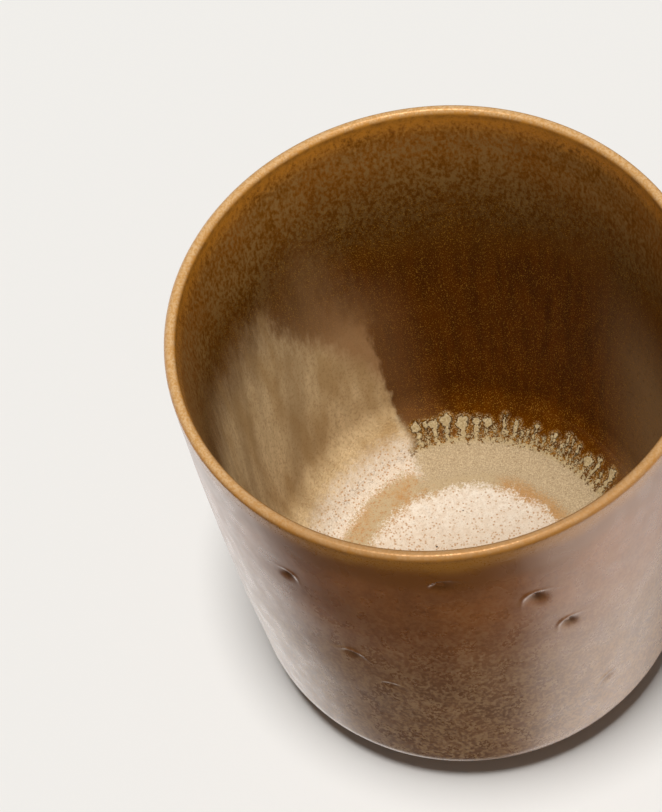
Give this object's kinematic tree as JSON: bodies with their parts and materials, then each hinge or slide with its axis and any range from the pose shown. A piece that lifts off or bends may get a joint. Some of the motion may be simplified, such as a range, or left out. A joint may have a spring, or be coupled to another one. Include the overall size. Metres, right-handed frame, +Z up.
{
  "type": "handleless cup",
  "caption": "Round handleless stoneware cup with tapering walls, rounded heel, set-in foot ring and separate glaze coats.",
  "frame": {"origin": "middle of the foot ring's resting face", "axes": "+Z up along the cup's turning axis, towards the rim; X and Y are free, as the cup is turned"},
  "size_m": [0.084, 0.084, 0.0832],
  "materials": {
    "stoneware": "bare fired clay, matt, warm tan",
    "outside_glaze": "satin brown glaze, mottled, with fine khaki speckle towards the heel",
    "lip_glaze": "thin satin glaze that breaks to tan and amber over the lip",
    "inner_wall_glaze": "satin chestnut glaze with taupe mottling and fine golden specks",
    "floor_glaze": "semi-matt cream crystalline glaze with rust specks"
  },
  "bodies": {
    "root": {"stoneware_body": "stoneware", "outside_glaze": "outside_glaze", "lip_glaze": "lip_glaze", "inner_wall_glaze": "inner_wall_glaze", "floor_glaze": "floor_glaze"}
  },
  "joints": []
}
